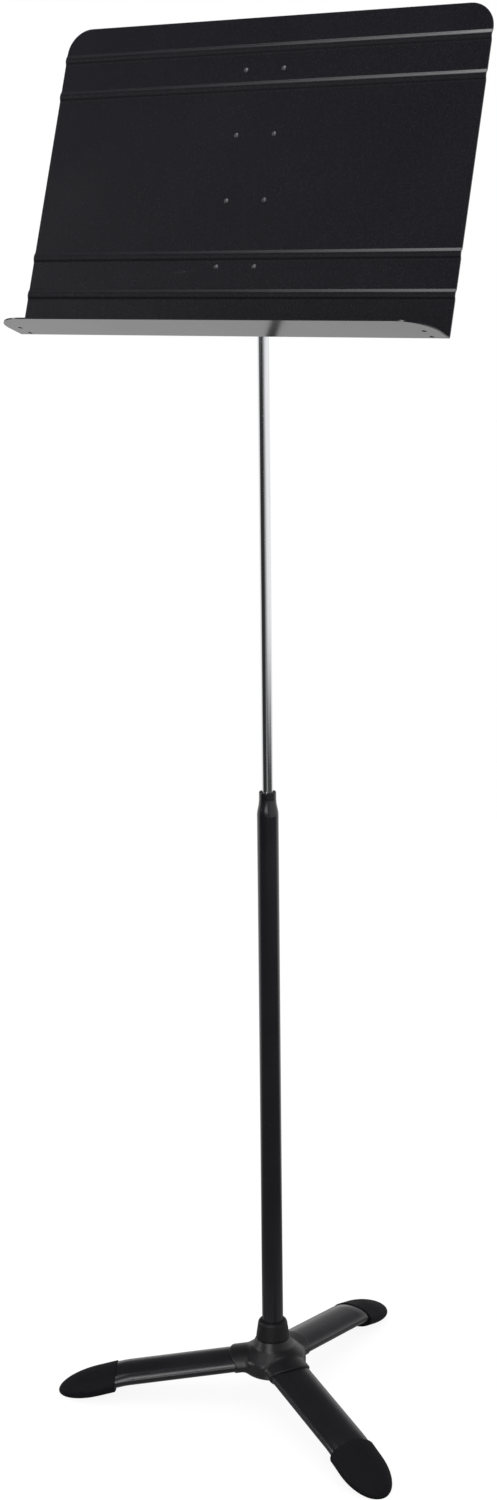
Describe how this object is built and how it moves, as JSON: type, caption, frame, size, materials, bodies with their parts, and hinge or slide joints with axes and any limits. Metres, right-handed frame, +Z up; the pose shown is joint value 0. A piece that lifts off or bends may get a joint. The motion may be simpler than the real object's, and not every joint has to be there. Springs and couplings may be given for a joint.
{
  "type": "music stand",
  "caption": "Orchestra music stand: tilting sheet-metal desk with a ledge on a bright shaft that slides and turns in a black tube, held by friction, on a tripod base.",
  "frame": {"origin": "on the floor, at the middle of the stand's outline seen from above", "axes": "+Z up along the pole, the desk's face looks towards -Y, the desk's width runs along X"},
  "size_m": [0.508, 0.3928, 1.5431],
  "materials": {
    "desk_coat": "aluminium sheet with a satin black baked coat",
    "rivet_aluminium": "small domed rivets, coated black and worn bright on top",
    "steel_coat": "steel with a satin black powder coat",
    "hub_coat": "casting with a satin black powder coat",
    "shaft_chrome": "polished chrome plate",
    "zinc_steel": "zinc-plated steel fasteners",
    "nylon": "natural nylon",
    "collar_plastic": "moulded black plastic",
    "foot_rubber": "moulded black rubber, matt"
  },
  "bodies": {
    "base": {"hub": "hub_coat", "outer_tube": "steel_coat", "tube_plug": "zinc_steel", "centre_bolt": "zinc_steel", "centre_washer": "zinc_steel", "collar": "collar_plastic", "guide_bush": "nylon", "leg_left": "steel_coat", "leg_right": "steel_coat", "leg_rear": "steel_coat", "leg_screws": "zinc_steel", "foot_left": "foot_rubber", "foot_right": "foot_rubber", "foot_rear": "foot_rubber"},
    "clutch": {"clutch_sleeve": "nylon", "clutch_spring": "zinc_steel"},
    "mast": {"shaft": "shaft_chrome", "clutch_washer": "zinc_steel", "clutch_screw": "zinc_steel", "tilt_head": "steel_coat", "head_pin": "zinc_steel"},
    "desk": {"desk_panel": "desk_coat", "desk_rivets": "rivet_aluminium", "pivot_bracket": "steel_coat", "pivot_bolt": "zinc_steel", "pivot_washers": "zinc_steel", "friction_discs": "nylon", "spring_washer": "zinc_steel", "lock_nut": "zinc_steel"}
  },
  "joints": [
    {"name": "height_slide", "type": "slide", "parent": "base", "child": "clutch", "axis": [0, 0, 1], "range_m": [-0.545, 0]},
    {"name": "swivel", "type": "hinge", "parent": "clutch", "child": "mast", "pos_m": [0, -0.0518, 0.64], "axis": [0, 0, 1], "continuous": true},
    {"name": "desk_tilt", "type": "hinge", "parent": "mast", "child": "desk", "pos_m": [0, -0.0518, 1.37836], "axis": [-1, 0, 0], "range_deg": [-18.5, 71.5]}
  ]
}
